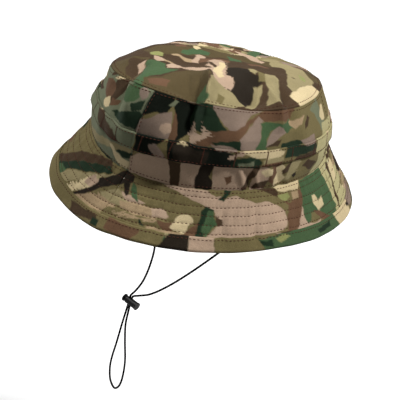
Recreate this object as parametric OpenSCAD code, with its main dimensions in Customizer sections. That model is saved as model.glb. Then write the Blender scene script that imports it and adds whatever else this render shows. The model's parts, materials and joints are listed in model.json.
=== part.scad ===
// Boonie hat: soft crown of a round top and three side panels, a foliage band held by bar tacks,
// a stitched drooping brim with a bound edge, a sweatband, and a chin cord with a sliding cord lock.
// Origin: centre of the head opening, in the plane of the seam between crown and brim.
// +X is the front of the hat, +Y the wearer's left, +Z up. Lengths are millimetres.

/* [Head opening] */
// half length of the seam between crown and brim, front to back
seam_a = 101.5; // [98:0.5:106]
// width of the head opening over its length
side_ratio = 0.86; // [0.82:0.01:0.9]

/* [Crown] */
// height of the seam round the top above the crown/brim seam
top_seam_z = 70; // [64:1:76]
// half length of the seam round the top
top_seam_a = 95; // [92:0.5:98]
// rise of the domed top above its seam
dome_rise = 13; // [8:1:18]
// thickness of the crown cloth with its turned seams
crown_cloth = 1.2; // [0.8:0.1:1.4]

/* [Brim] */
// width of the brim along its slope, seam to edge
brim_w = 52; // [46:1:60]
// droop of the brim below the horizontal, in degrees
brim_droop = 52; // [40:1:58]
// width of the tape that binds the brim edge
binding_w = 11; // [8:0.5:14]

/* [Foliage band] */
// height of the lower edge of the band above the crown/brim seam
band_z = 21; // [16:1:26]
// width of the band tape
band_w = 15; // [12:1:18]
// number of bar tacks that divide the band into loops
tack_count = 24; // [18:1:30]

/* [Sweatband] */
// height of the sweatband tape
sweatband_h = 32; // [26:1:38]

/* [Chin cord] */
// thickness of the round cord
cord_d = 2.0; // [1.8:0.1:2.2]
// outside diameter of the cord lock barrel
lock_d = 7.0; // [6.8:0.1:8]
// stroke of the cord lock button
button_travel = 2.0; // [1.6:0.1:2.0]

/* [Node to build] */
// "all" or one name from the node list

/* [Hidden] */
$fn = 96;
layer_gap = 0.1;           // air between cloth layers of the same hat
seam_gap = 0.1;            // air between two panels at their seam, in degrees of turn

// the three panels of the crown and of the brim meet at the centre back and beside each temple
front_seam = 66;

// middle line of the crown side wall: distance from the axis along X, height
wall_line = [[seam_a, 0.6], [seam_a + 1.6, 16], [seam_a + 1.8, 30], [seam_a + 0.6, 44],
             [seam_a - 2.2, 57], [top_seam_a, top_seam_z - 0.2]];
half_cloth = crown_cloth / 2;

// band tape and its tacks
band_t = 1.3;
tack_w = 1.8;
tack_t = 0.6;

// brim layers, as heights off the middle of the brim
brim_cloth = 0.6;
interlining_t = 0.8;
binding_t = 0.7;
brim_start = 0.3;          // start of the layers down the slope, clear of the wall
brim_half = interlining_t / 2 + layer_gap + brim_cloth;

// sweatband and cord anchors
sweatband_t = 1.5;
anchor_x = 20;
anchor_y = 81.6;
anchor_w = 12;
anchor_t = 3.6;
anchor_z0 = -7;
anchor_h = 12;
anchor_turn = 10;          // the tab follows the curve of the sweatband
cord_room = 0.7;           // wider than the cord, on the diameter
pocket_h = 10.8;           // depth of the tab's pocket for the cord end

// cord lock, built along local Z and then laid at a slight slope under the left ear
lock_at = [10, 76, -188];
lock_turn = -80;
barrel_z0 = -9.5;
barrel_z1 = 3.6;
barrel_end_t = 1.2;
bore_d = 5.2;
plunger_d = 4.8;
plunger_z0 = -4.6;
rim_gap = 0.3;             // left between button and barrel when pressed home
flange_t = 1.5;
flange_d = 7.4;
flare_h = 1.6;             // the barrel flares to its mouth and foot
flare_d = 7.8;
cord_pitch = 2.2;          // the two runs of cord lie side by side in the lock
slot_w = cord_d + 0.4;
slot_end = cord_pitch / 2 + cord_d / 2 + 0.15;
spring_wire = 0.45;
spring_d = 4.2;
spring_turns = 3;
spring_gap = 0.1;

// middle line of the chin cord: left anchor, lock, hanging loop, lock again, right anchor
cord_route = [
    [20, 81.6, 3], [20, 81.6, -8], [19, 79, -30], [17, 71, -62], [15, 62, -92],
    [13, 57.2, -123], [11.8, 58.8, -142], [11, 64, -161], [10.3, 71, -174.5],
    [10, 75.9, -181.4], [10, 76.5, -184.6], [10, 77.7, -191.2],
    [10, 79.2, -199], [10, 82, -213], [10, 86.5, -238], [10, 90.6, -259], [10, 91, -271],
    [10, 88.5, -282], [10, 82.5, -287.5], [10, 77, -282], [10, 74, -270],
    [10, 73.4, -252], [10, 76.4, -231], [10, 78, -214], [10, 76.6, -200],
    [10, 75.5, -191.5], [10, 74.3, -184.9], [10, 72.8, -181.3], [10.3, 67.5, -178.4],
    [11, 54.7, -171.4], [12, 38, -157], [13.5, 16.8, -134.8], [15.3, -11, -102.5],
    [17, -38, -69], [18.5, -62, -41], [19.5, -75, -24], [20, -81.2, -11],
    [20, -81.6, -4], [20, -81.6, 3]];
cord_sides = 8;
ring_step = 7;
spring_sides = 6;
spring_rings_per_turn = 12;

cloth_olive = [0.42, 0.40, 0.26];
cloth_tan = [0.66, 0.56, 0.42];
cloth_brown = [0.36, 0.27, 0.18];
cloth_dark = [0.26, 0.27, 0.17];
thread_brown = [0.55, 0.45, 0.34];
cord_black = [0.06, 0.06, 0.06];
lock_black = [0.10, 0.10, 0.10];
spring_steel = [0.70, 0.70, 0.72];

// ---- cloth shells ----

// point of the brim section: s down the slope from the seam, t off the middle of the brim
function brim_pt(s, t) = [
    seam_a + s * cos(brim_droop) + t * sin(brim_droop),
    -s * sin(brim_droop) + t * cos(brim_droop)];

// closed section of a layer that follows line at offsets t0 to t1 outward
function wall_band(line, t0, t1) = concat(
    [for (p = line) [p[0] + t0, p[1]]],
    [for (i = [len(line) - 1:-1:0]) [line[i][0] + t1, line[i][1]]]);

// distance of the wall's middle line from the axis at height z
function wall_at(z) = lookup(z, [for (p = wall_line) [p[1], p[0]]]);

module oval_sweep(start, turn) {
    scale([1, side_ratio, 1]) rotate([0, 0, start]) rotate_extrude(angle = turn) children();
}

// a ring all the way round, in two halves that join end to end
module oval_ring() {
    scale([1, side_ratio, 1]) {
        rotate_extrude(angle = 180) children();
        mirror([0, 1, 0]) rotate_extrude(angle = 180) children();
    }
}

module side_panel(start, turn) {
    oval_sweep(start + seam_gap / 2, turn - seam_gap)
        polygon(wall_band(wall_line, -half_cloth, half_cloth));
}

// section of one brim layer between offsets t0 and t1
module brim_section(t0, t1) {
    polygon([brim_pt(brim_start, t0), brim_pt(brim_w, t0),
             brim_pt(brim_w, t1), brim_pt(brim_start, t1)]);
}

module brim_top_panel(start, turn) {
    oval_sweep(start + seam_gap / 2, turn - seam_gap)
        brim_section(interlining_t / 2 + layer_gap, brim_half);
}

module crown_top() {
    a = top_seam_a - half_cloth;
    z0 = top_seam_z;
    lower = [[a, z0], [a * 0.9, z0 + dome_rise * 0.28], [a * 0.7, z0 + dome_rise * 0.62],
             [a * 0.4, z0 + dome_rise * 0.9], [0, z0 + dome_rise]];
    upper = [for (i = [len(lower) - 1:-1:0]) [lower[i][0], lower[i][1] + crown_cloth]];
    color(cloth_olive)
        oval_ring()
            polygon(concat(lower, upper, [[a + crown_cloth, z0]]));
}

module side_panel_front() {
    color(cloth_brown) side_panel(-front_seam, 2 * front_seam);
}

module side_panel_rear_left() {
    color(cloth_dark) side_panel(front_seam, 180 - front_seam);
}

module side_panel_rear_right() {
    color(cloth_dark) side_panel(180, 180 - front_seam);
}

module foliage_band() {
    t0 = half_cloth + layer_gap;
    rows = [for (i = [0:3]) band_z + band_w * i / 3];
    color(cloth_tan)
        oval_ring()
            polygon(wall_band([for (z = rows) [wall_at(z) + 0.1, z]], t0, t0 + band_t));
}

// one upright bar of stitching across the band, at turn angle w round the crown
module band_bar_tack(w) {
    r = wall_at(band_z + band_w / 2) + 0.1 + half_cloth + layer_gap + band_t + layer_gap;
    facing = atan2(side_ratio * cos(w), sin(w)) - 90;
    translate([r * cos(w), side_ratio * r * sin(w), band_z + band_w / 2])
        rotate([0, 0, -facing])
            translate([tack_t / 2 + 0.15, 0, 0])
                cube([tack_t, tack_w, band_w - 1], center = true);
}

module band_bar_tacks() {
    color(thread_brown)
        for (i = [0:tack_count - 1]) band_bar_tack(i * 360 / tack_count + 7.5);
}

module brim_top_front() {
    color(cloth_tan) brim_top_panel(-front_seam, 2 * front_seam);
}

module brim_top_rear_left() {
    color(cloth_olive) brim_top_panel(front_seam, 180 - front_seam);
}

module brim_top_rear_right() {
    color(cloth_olive) brim_top_panel(180, 180 - front_seam);
}

module brim_interlining() {
    color([0.85, 0.84, 0.78])
        oval_ring() brim_section(-interlining_t / 2, interlining_t / 2);
}

module brim_under() {
    color(cloth_olive)
        oval_ring() brim_section(-brim_half, -interlining_t / 2 - layer_gap);
}

module brim_edge_binding() {
    inner = brim_half + layer_gap;
    outer = inner + binding_t;
    s0 = brim_w - binding_w + binding_t + layer_gap;
    s1 = brim_w + layer_gap;
    color(cloth_brown)
        oval_ring()
            polygon([brim_pt(s0, inner), brim_pt(s1, inner), brim_pt(s1, -inner),
                     brim_pt(s0, -inner), brim_pt(s0, -outer), brim_pt(s1 + binding_t, -outer),
                     brim_pt(s1 + binding_t, outer), brim_pt(s0, outer)]);
}

module sweatband() {
    t1 = -half_cloth - layer_gap;
    rows = [for (i = [0:3]) 0.6 + sweatband_h * i / 3];
    color([0.30, 0.30, 0.22])
        oval_ring()
            polygon(wall_band([for (z = rows) [wall_at(z) - 0.1, z]], t1 - sweatband_t, t1));
}

// ---- chin cord ----

// folded tab of tape that the end of the cord is sewn into; side is 1 for left, -1 for right
module cord_anchor(side) {
    difference() {
        translate([anchor_x, side * anchor_y, anchor_z0 + anchor_h / 2])
            rotate([0, 0, -side * anchor_turn])
                cube([anchor_w, anchor_t, anchor_h], center = true);
        translate([anchor_x, side * anchor_y, anchor_z0 - 1])
            cylinder(h = pocket_h + 1, d = cord_d + cord_room);
    }
}

module cord_anchor_left() {
    color(cloth_dark) cord_anchor(1);
}

module cord_anchor_right() {
    color(cloth_dark) cord_anchor(-1);
}

function unit(v) = v / norm(v);
function leg(i) = norm(cord_route[i + 1] - cord_route[i]);
function heading(i) =
    i == 0 ? unit(cord_route[1] - cord_route[0]) :
    i == len(cord_route) - 1 ? unit(cord_route[i] - cord_route[i - 1]) :
    (cord_route[i + 1] - cord_route[i - 1]) / (leg(i) + leg(i - 1));
// smooth curve between route points i and i + 1, at share u of the way
function along(i, u) =
    (2 * pow(u, 3) - 3 * pow(u, 2) + 1) * cord_route[i]
    + (pow(u, 3) - 2 * pow(u, 2) + u) * leg(i) * heading(i)
    + (3 * pow(u, 2) - 2 * pow(u, 3)) * cord_route[i + 1]
    + (pow(u, 3) - pow(u, 2)) * leg(i) * heading(i + 1);
function rings_on(i) = max(1, ceil(leg(i) / ring_step));
cord_line = concat(
    [for (i = [0:len(cord_route) - 2]) for (k = [0:rings_on(i) - 1]) along(i, k / rings_on(i))],
    [cord_route[len(cord_route) - 1]]);

function tangent(line, i) =
    unit(line[min(i + 1, len(line) - 1)] - line[max(i - 1, 0)]);
// ring of points round line[i]; across is a direction the line never runs along
function ring(line, i, r, sides, across) =
    let (t = tangent(line, i), e = unit(cross(t, across)), n = cross(t, e))
    [for (k = [0:sides - 1])
        line[i] + r * (cos(360 * k / sides) * e + sin(360 * k / sides) * n)];

module tube(line, d, sides, across) {
    // the corners of the many-sided tube lie outside the round by half the lost area
    r = d / 2 / sqrt(cos(180 / sides));
    last = len(line) - 1;
    points = [for (i = [0:last]) for (p = ring(line, i, r, sides, across)) p];
    walls = [for (i = [0:last - 1]) for (k = [0:sides - 1])
        let (n = (k + 1) % sides)
        for (f = [[i * sides + k, i * sides + n, (i + 1) * sides + n],
                  [i * sides + k, (i + 1) * sides + n, (i + 1) * sides + k]]) f];
    caps = [[for (k = [sides - 1:-1:0]) k], [for (k = [0:sides - 1]) last * sides + k]];
    polyhedron(points = points, faces = concat(walls, caps));
}

module chin_cord() {
    color(cord_black) tube(cord_line, cord_d, cord_sides, [1, 0, 0]);
}

// ---- cord lock ----

module at_lock() {
    translate(lock_at) rotate([lock_turn, 0, 0]) children();
}

module cord_lock_barrel() {
    foot = barrel_z0 + flare_h;
    color(lock_black) at_lock() difference() {
        rotate_extrude()
            polygon([[0, barrel_z0], [flare_d / 2, barrel_z0], [flare_d / 2, foot - 0.6],
                     [lock_d / 2, foot + 0.4], [lock_d / 2, barrel_z1], [0, barrel_z1]]);
        translate([0, 0, barrel_z0 + barrel_end_t])
            cylinder(h = barrel_z1 - barrel_z0, d = bore_d);
        translate([-slot_w / 2, -flare_d, -slot_end])
            cube([slot_w, 2 * flare_d, 2 * slot_end]);
    }
}

module cord_lock_button() {
    neck = barrel_z1 + button_travel + rim_gap;
    color(lock_black) at_lock() difference() {
        rotate_extrude()
            polygon([[0, plunger_z0], [plunger_d / 2, plunger_z0], [plunger_d / 2, neck],
                     [lock_d / 2, neck], [flange_d / 2, neck + flange_t * 0.6],
                     [lock_d / 2, neck + flange_t], [0, neck + flange_t]]);
        translate([-slot_w / 2, -flare_d, -slot_end])
            cube([slot_w, 2 * flare_d, 2 * slot_end + button_travel]);
    }
}

module cord_lock_spring() {
    z0 = barrel_z0 + barrel_end_t + spring_gap + spring_wire / 2;
    z1 = plunger_z0 - spring_gap - spring_wire / 2;
    r = (spring_d - spring_wire) / 2;
    steps = spring_turns * spring_rings_per_turn;
    line = [for (i = [0:steps])
        let (w = 360 * i / spring_rings_per_turn)
        [r * cos(w), r * sin(w), z0 + (z1 - z0) * i / steps]];
    color(spring_steel) at_lock() tube(line, spring_wire, spring_sides, [0, 0, 1]);
}

crown_top();
side_panel_front();
side_panel_rear_left();
side_panel_rear_right();
foliage_band();
band_bar_tacks();
brim_top_front();
brim_top_rear_left();
brim_top_rear_right();
brim_interlining();
brim_under();
brim_edge_binding();
sweatband();
cord_anchor_left();
cord_anchor_right();
chin_cord();
cord_lock_barrel();
cord_lock_button();
cord_lock_spring();
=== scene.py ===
"""Looks of a boonie hat: camouflage cloth crown and brim, foliage band, chin cord and cord lock.

Everything is sized in millimetres and turned into metres where a mesh is made. The cloth pieces
are laid on one hat surface, given by region (top, wall, brim), angle round the hat and level.
"""
import json
import math
import random

import bpy
import numpy as np
from mathutils import Matrix, Vector

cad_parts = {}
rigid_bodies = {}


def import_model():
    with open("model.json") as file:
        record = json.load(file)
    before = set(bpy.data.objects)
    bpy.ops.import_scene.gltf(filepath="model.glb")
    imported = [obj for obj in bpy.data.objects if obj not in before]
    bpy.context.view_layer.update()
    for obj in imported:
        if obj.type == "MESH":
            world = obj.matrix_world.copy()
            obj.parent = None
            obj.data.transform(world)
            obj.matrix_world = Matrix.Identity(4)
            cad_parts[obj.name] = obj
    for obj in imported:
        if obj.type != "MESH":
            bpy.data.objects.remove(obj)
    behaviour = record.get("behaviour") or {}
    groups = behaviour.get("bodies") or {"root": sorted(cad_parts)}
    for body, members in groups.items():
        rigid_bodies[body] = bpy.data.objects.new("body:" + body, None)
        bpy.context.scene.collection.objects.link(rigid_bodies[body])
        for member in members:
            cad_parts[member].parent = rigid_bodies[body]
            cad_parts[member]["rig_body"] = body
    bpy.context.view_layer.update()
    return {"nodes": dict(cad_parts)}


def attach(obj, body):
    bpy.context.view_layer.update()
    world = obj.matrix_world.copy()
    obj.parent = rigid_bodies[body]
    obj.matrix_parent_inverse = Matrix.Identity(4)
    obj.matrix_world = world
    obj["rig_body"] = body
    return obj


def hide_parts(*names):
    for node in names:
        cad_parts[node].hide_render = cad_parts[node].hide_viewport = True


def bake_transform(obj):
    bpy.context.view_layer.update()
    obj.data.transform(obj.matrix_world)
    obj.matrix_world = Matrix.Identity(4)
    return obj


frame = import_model()
MM = 0.001
HAT = "hat"

# ---------------------------------------------------------------- camera

CAM_AZ = 216.5       # degrees from +X, seen from the rear right
CAM_EL = 21.4
CAM_ROLL = 8.1
CAM_DIST = 0.996
CAM_LENS = 108.3
CAM_AIM = (-10.1, -46.4)   # mm right and up of the origin, where the lens points


def make_camera():
    """The camera that the outline in the photo was fitted with, rolled and shifted as it asks."""
    az, el, roll = (math.radians(v) for v in (CAM_AZ, CAM_EL, CAM_ROLL))
    back = Vector((math.cos(az) * math.cos(el), math.sin(az) * math.cos(el), math.sin(el)))
    right = Vector((-math.sin(az), math.cos(az), 0))
    up = back.cross(right)
    r = right * math.cos(roll) + up * math.sin(roll)
    u = up * math.cos(roll) - right * math.sin(roll)
    place = back * CAM_DIST
    aim = (r * CAM_AIM[0] + u * CAM_AIM[1]) * MM
    z = (place - aim).normalized()
    x = u.cross(z).normalized()
    y = z.cross(x)
    cam = bpy.data.objects.new("camera", bpy.data.cameras.new("camera"))
    cam.data.lens = CAM_LENS
    cam.data.sensor_width = 36
    cam.matrix_world = Matrix.Translation(place) @ Matrix((x, y, z)).transposed().to_4x4()
    bpy.context.scene.collection.objects.link(cam)
    bpy.context.scene.camera = cam


make_camera()

# ---------------------------------------------------------------- helpers


def srgb(r, g, b):
    """Linear colour of an 8-bit screen colour."""
    return tuple((v / 255 / 12.92) if v <= 10 else ((v / 255 + 0.055) / 1.055) ** 2.4
                 for v in (r, g, b))


def smooth(x, lo, hi):
    w = np.clip((x - lo) / (hi - lo), 0, 1)
    return w * w * (3 - 2 * w)


def off_angle(th, mid):
    """Degrees from mid to th, between -180 and 180."""
    return (th - mid + 180) % 360 - 180


def near_angle(th, mid, spread):
    """1 at the angle mid, falling away over the given spread."""
    return np.exp(-(off_angle(th, mid) / spread) ** 2)


def wave_set(seed, count=9):
    """Random directions and phases for a smooth noise made of sine waves."""
    rnd = random.Random(seed)
    rows = []
    for _ in range(count):
        d = np.array([rnd.gauss(0, 1) for _ in range(3)])
        rows.append((*(d / np.linalg.norm(d) * rnd.uniform(0.6, 1.6)), rnd.uniform(0, math.tau)))
    return rows


def noise(p, size, seed):
    """Smooth noise, about -1 to 1, with features of the given size in mm."""
    total = 0
    waves = wave_set(seed)
    for dx, dy, dz, phase in waves:
        total = total + np.sin((p[..., 0] * dx + p[..., 1] * dy + p[..., 2] * dz)
                               * math.tau / (2 * size) + phase)
    return total / math.sqrt(len(waves) * 0.8)


# ---------------------------------------------------------------- the hat surface

SIDE_RATIO = 0.86
TOP_A = 91.5          # half length of the seam round the top
TOP_Z = 70.0
DOME = 9.0
SEAM_A = 101.5        # half length of the seam between crown and brim
BRIM_W = 52.0
DROOP = math.radians(52)
WALL_Z = (0.0, 16.0, 30.0, 44.0, 57.0, 70.0)
WALL_A = (101.5, 103.1, 103.3, 101.6, 97.8, 91.5)
WALL_FIT = np.polyfit(WALL_Z, WALL_A, 4)

TWIST = 8.0           # degrees that the crown's top is turned against its foot
# where the top seam hangs lower still: angle, spread, mm
RIM_DROPS = [(262, 42, 4.5), (128, 32, 6.0)]
CROWN_SHIFT = (-1.7, 2.4)   # mm the crown's top leans to the back and to the left
# where the brim and the foot of the wall ride higher and wider: angle, spread, mm up, mm out
LIFTS = [(116, 34, 11.0, 7.5), (335, 25, 8.0, 3.5)]
SAG = (7.75, 5.4, 0.3)      # mm the top seam sinks: everywhere, more in front, more on the left

# Folds pressed into the cloth. Each row: the path as mm below the top seam and as angle, depth and
# half width along it, and the ridges beside it as a share of the depth. Negative distances are on
# the round top, negative depths stand out.
FOLDS = [
    # the dent at the rear right and the sharp ridge that ends it
    ((-46, -34, -18, -4, 10, 26, 42), (190, 197, 204, 207, 208, 208, 206),
     (0, 5, 12, 17, 16, 9, 0), (8, 12, 17, 19, 18, 15, 12), 0),
    ((-52, -40, -24, -8, 6, 24, 40), (207, 212, 215, 217, 217, 216, 214),
     (0, -5, -8, -9, -7, -3, 0), (5, 5, 5, 5, 6, 8, 9), 0),
    ((-42, -26, -8, 6, 24, 40), (203, 209, 211.5, 212, 211, 209),
     (0, 3, 5.5, 5.5, 3, 0), (4, 5, 6, 7, 8, 9), 0),
    # the next hollow and the pleats beyond it
    ((-44, -30, -14, -2, 12, 26), (262, 255, 247, 243, 241, 240),
     (0, 5, 9, 9.5, 4.5, 0), (7, 10, 13, 13, 13, 12), 0),
    ((-30, -18, -4, 8, 20), (262, 260, 258, 257, 257),
     (0, -4, -7, -4, 0), (5, 5, 5, 6, 8), 0),
    ((-34, -18, -4, 8, 20), (276, 270, 266, 265, 264),
     (0, 4, 7, 4.5, 0), (5, 6, 6, 6, 8), 0),
    # the hollow in the left panel and the ridge behind it
    ((-30, -14, 0, 14, 28, 42), (150, 156, 160, 163, 166, 167),
     (0, 8, 12, 11, 5.5, 0), (6, 8, 9.5, 10, 10, 9), 0),
    ((-26, -12, 0, 14, 30), (166, 172, 176, 177, 177),
     (0, -3, -4, -3, 0), (6, 6, 6, 7, 8), 0),
    # small creases low on the wall
    ((44, 54, 64, 71), (237, 239, 241, 242),
     (0, 2.6, 2.8, 0), (3.2, 3.2, 3.2, 4), 0.4),
    ((46, 56, 66, 71), (254, 255, 257, 258),
     (0, 1.8, 1.8, 0), (4, 4, 4, 4), 0.4),
    ((40, 52, 62, 71), (62, 61, 60, 59),
     (0, 2.5, 3, 0), (6, 6, 6, 6), 0.2),
    # softer folds on the far side
    ((-34, -14, 0, 15, 30), (96, 90, 88, 87, 87),
     (0, 2, 3, 3, 0), (6, 9, 11, 11, 9), 0.2),
    # faint creases across the stitch rows of the brim
    ((80, 92, 112, 122), (244, 243, 242, 242),
     (0, 1.2, 1.6, 0.4), (2.4, 2.8, 3.4, 4), 0.3),
    ((84, 96, 112, 122), (230, 229, 229, 229),
     (0, 0.9, 1.2, 0.3), (2.6, 3, 3.4, 4), 0.3),
    ((78, 90, 108, 120), (206, 204, 203, 203),
     (0, 0.8, 1, 0.2), (3, 3, 3.4, 4), 0.3),
    # the crown leans in a little on the left
    ((-4, 12, 30, 46), (128, 128, 128, 128),
     (0, 3, 3, 0), (34, 38, 38, 38), 0),
]


def profile(region, lv):
    """Half length along X and height of a level: share of the radius on the top, height on the
    wall, distance down the slope on the brim."""
    if region == "top":
        return TOP_A * lv, TOP_Z + DOME * (1 - np.power(lv, 4))
    if region == "wall":
        return np.polyval(WALL_FIT, lv), lv
    return SEAM_A + lv * math.cos(DROOP), -lv * math.sin(DROOP)


def below_seam(region, lv):
    """Distance in mm from the top seam, down the wall and brim; negative on the top."""
    if region == "top":
        return (lv - 1) * TOP_A
    if region == "wall":
        return TOP_Z - lv
    return TOP_Z + lv


def twist(region, lv):
    """Degrees that the crown is turned at a level, against its foot."""
    return {"top": TWIST + 0 * lv, "wall": TWIST * lv / TOP_Z, "brim": 0 * lv}[region]


FOLD_FLANK = 1.35           # power that shapes a fold's flanks
RIDGE_AT, RIDGE_HALF = 1.9, 0.7   # where the ridges beside a fold stand, in its half widths
TURN_AT = (-22, 14)         # mm below the top seam where folds turn from pushing down to pushing in
# unevenness of slack cloth: mm deep, mm across, seed
SLACK, CRUMPLE, TOP_SLACK, RIPPLE, EDGE_WANDER = (
    (1.3, 34, 3), (0.45, 11, 4), (1.2, 46, 5), (0.5, 9, 7), (0.35, 13, 6))
BRIM_TIP = (3.7, 2.5)       # mm the brim's edge tips down in front and on the left, up behind and right
BRIM_WAVES = ((1.4, 3, 0.8), (0.8, 7, 2.0))    # mm high, waves round the brim, phase


def uneven(p, deep, size, seed):
    """Smooth chance heights, so many mm deep and across."""
    return deep * noise(p, size, seed)


def fold_push(region, th, lv, a, p):
    """How many mm the folds and the slack of the cloth push each point, and the share inward."""
    m = below_seam(region, lv) + 0 * th
    push = np.zeros_like(th)
    for path, angle, depth, width, ridge in FOLDS:
        off = np.radians(off_angle(th, np.interp(m, path, angle)))
        x = off * np.maximum(a, 20) / np.interp(m, path, width)
        beside = np.exp(-((np.abs(x) - RIDGE_AT) / RIDGE_HALF) ** 2)
        push = push + np.interp(m, path, depth, 0, 0) * (np.exp(-np.abs(x) ** FOLD_FLANK) - ridge * beside)
    soft = smooth(m, -96, -60) * (1 - smooth(m, 52, 70))
    push = push + soft * (uneven(p, *SLACK) + uneven(p * (1, 1, 0.5), *CRUMPLE))
    if region == "top":
        push = push + (1 - lv ** 8) * uneven(p, *TOP_SLACK)
    return push, smooth(m, *TURN_AT)


def sink_crown(p, region, th, lv, a, c, s):
    """The slack crown sinks and leans, most in front, away from the camera."""
    sag = SAG[0] + a / TOP_A * (SAG[1] * c + SAG[2] * s)
    high = smooth(p[..., 2], 0, TOP_Z)
    rim = lv ** 5 if region == "top" else smooth(lv, 15, TOP_Z)
    for mid, spread, drop in RIM_DROPS:
        sag = sag + rim * drop * near_angle(th, mid, spread)
    p[..., 0] += CROWN_SHIFT[0] * high
    p[..., 1] += CROWN_SHIFT[1] * high
    p[..., 2] -= sag * high


def wave_brim(p, lv, t, c, s):
    """The brim tips, waves more and more towards its edge, and ripples in its middle."""
    out = lv / BRIM_W
    p[..., 2] -= out * (BRIM_TIP[0] * c + BRIM_TIP[1] * s)
    wave = np.maximum(out, 0) ** 1.5 * sum(high * np.sin(k * t + phase) for high, k, phase in BRIM_WAVES)
    ripple = out * (1 - smooth(out, 0.55, 0.85)) * uneven(p * (1, 1, 0.4), *RIPPLE)
    p[..., 2] += 0.8 * wave + ripple
    wide = 0.6 * wave + out * uneven(p, *EDGE_WANDER)
    p[..., 0] += wide * c
    p[..., 1] += wide * s


def surface(region, th, lv):
    """Points of the cloth's middle surface, folds included. th in degrees."""
    th = th + twist(region, lv)
    t = np.radians(th)
    a, z = profile(region, lv)
    c, s = np.cos(t), np.sin(t)
    p = np.stack([a * c, SIDE_RATIO * a * s, z + 0 * c], -1)
    push, inward = fold_push(region, th, lv, a, p)
    p[..., 0] -= push * inward * c
    p[..., 1] -= push * inward * s
    p[..., 2] -= push * (1 - inward)
    if region != "brim":
        sink_crown(p, region, th, lv, a, c, s)
    foot = 1 - smooth(z + 0 * c, 0, 60)
    for mid, spread, rise, wide in LIFTS:
        share = foot * near_angle(th, mid, spread)
        p[..., 0] += wide * share * c
        p[..., 1] += wide * share * s
        p[..., 2] += rise * share
    if region == "brim":
        wave_brim(p, lv, t, c, s)
    return p


BRIM_ROWS = (7.0, 15.0, 22.5, 30.5, 38.0)    # stitch rows, as mm down the brim
BIND_ROW = 43.2
FRONT_SEAM = 66.0
PANEL_SEAMS = (180.0, FRONT_SEAM, -FRONT_SEAM)
PANEL_SEAM_R = 100.0
# grooves that stitching draws into the cloth: mm deep, half width
ROW_GROOVE, FOOT_GROOVE, PANEL_GROOVE, TOP_GROOVE = (0.36, 0.9), (0.3, 1.2), (0.5, 0.8), (0.5, 0.9)
CLOTH_T = 0.6               # half the thickness of the crown's cloth
# inner and outer faces, in mm off the middle surface, of the brim's cloth, the band and the binding
BRIM_T = (0.5, 1.1)
BAND_T = (0.75, 2.0)
BIND_T = (1.25, 1.95)


def groove(off, deep, half):
    return deep * np.exp(-(off / half) ** 2)


def grooves(region, th, lv, t):
    """How far stitching draws the outer and inner faces of the cloth together."""
    dip = np.zeros_like(th)
    if region == "brim":
        for row in BRIM_ROWS:
            dip = dip + groove(lv - row, *ROW_GROOVE)
        # fine puckers, about one to a stitch, and uneven ones, that stop short of the binding
        pucker = 0.05 * np.sin(np.radians(th) * 230) * smooth(lv, 3, 8)
        pucker = pucker + 0.22 * noise(np.stack([th * 2.0, lv * 0.6, 0 * th], -1), 4.5, 8)
        dip = dip + pucker * (1 - smooth(lv, 38, 41))
        dip = dip + groove(lv, *FOOT_GROOVE)
    if region != "top":
        for seam in PANEL_SEAMS:
            dip = dip + groove(np.radians(off_angle(th, seam)) * PANEL_SEAM_R, *PANEL_GROOVE)
    if region == "wall":
        dip = dip + groove(TOP_Z - lv, *TOP_GROOVE)
    return np.where(t > 0, np.minimum(dip, t), -np.minimum(dip, CLOTH_T))


def on_hat(region, th, lv, t):
    """Points t mm outside the middle surface, and their outward normals."""
    th, lv, t = np.broadcast_arrays(*(np.asarray(v, float) for v in (th, lv, t)))
    # slopes round and along the hat, over a small step each way
    dth, dlv = 0.5, (0.006 if region == "top" else 0.6)
    lo = np.maximum(lv - dlv, 0.004) if region == "top" else lv - dlv
    du = surface(region, th + dth, lv) - surface(region, th - dth, lv)
    dv = surface(region, th, lv + dlv) - surface(region, th, lo)
    n = np.cross(du, dv) * (-1 if region != "wall" else 1)
    n = n / np.maximum(np.linalg.norm(n, axis=-1, keepdims=True), 1e-9)
    # outward means away from the axis on wall and brim, and up on the top
    flip = np.sign(n[..., 2] + 1e-9) if region == "top" else np.sign(
        n[..., 0] * np.cos(np.radians(th)) + n[..., 1] * np.sin(np.radians(th)))
    n = n * flip[..., None]
    offset = t - grooves(region, th, lv, t)
    return surface(region, th, lv) + n * offset[..., None], n


# ---------------------------------------------------------------- camouflage print

INK = {                # linear colours
    "olive": srgb(101, 91, 60), "khaki": srgb(132, 121, 88), "moss": srgb(124, 126, 78),
    "pink": srgb(160, 137, 116), "tan": srgb(146, 125, 96), "cream": srgb(184, 167, 130),
    "taupe": srgb(124, 107, 94), "grey": srgb(100, 104, 82), "brown": srgb(92, 68, 50),
    "umber": srgb(62, 48, 34), "black": srgb(35, 29, 22), "green": srgb(62, 82, 54),
    # the near-black green on the next line is print darkened past its own colour to stand in for the shade in
    # and around the dent at the rear right: partly print, partly painted shade
    "forest": srgb(29, 43, 29), "pitch": srgb(15, 19, 13), "sand": srgb(158, 150, 110),
    # the dull brown on the next line is print darkened past its own colour to stand in for the shade on the
    # top around the dent: partly print, partly painted shade
    "drab": srgb(74, 63, 41),
}
INK_DRAW = ["olive", "khaki", "pink", "pink", "cream", "taupe", "brown", "umber", "black",
            "green", "green", "forest", "tan", "olive"]    # what chance patches draw from
PER_DEGREE = 1.7      # mm of cloth to one degree, near enough for the print
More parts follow.
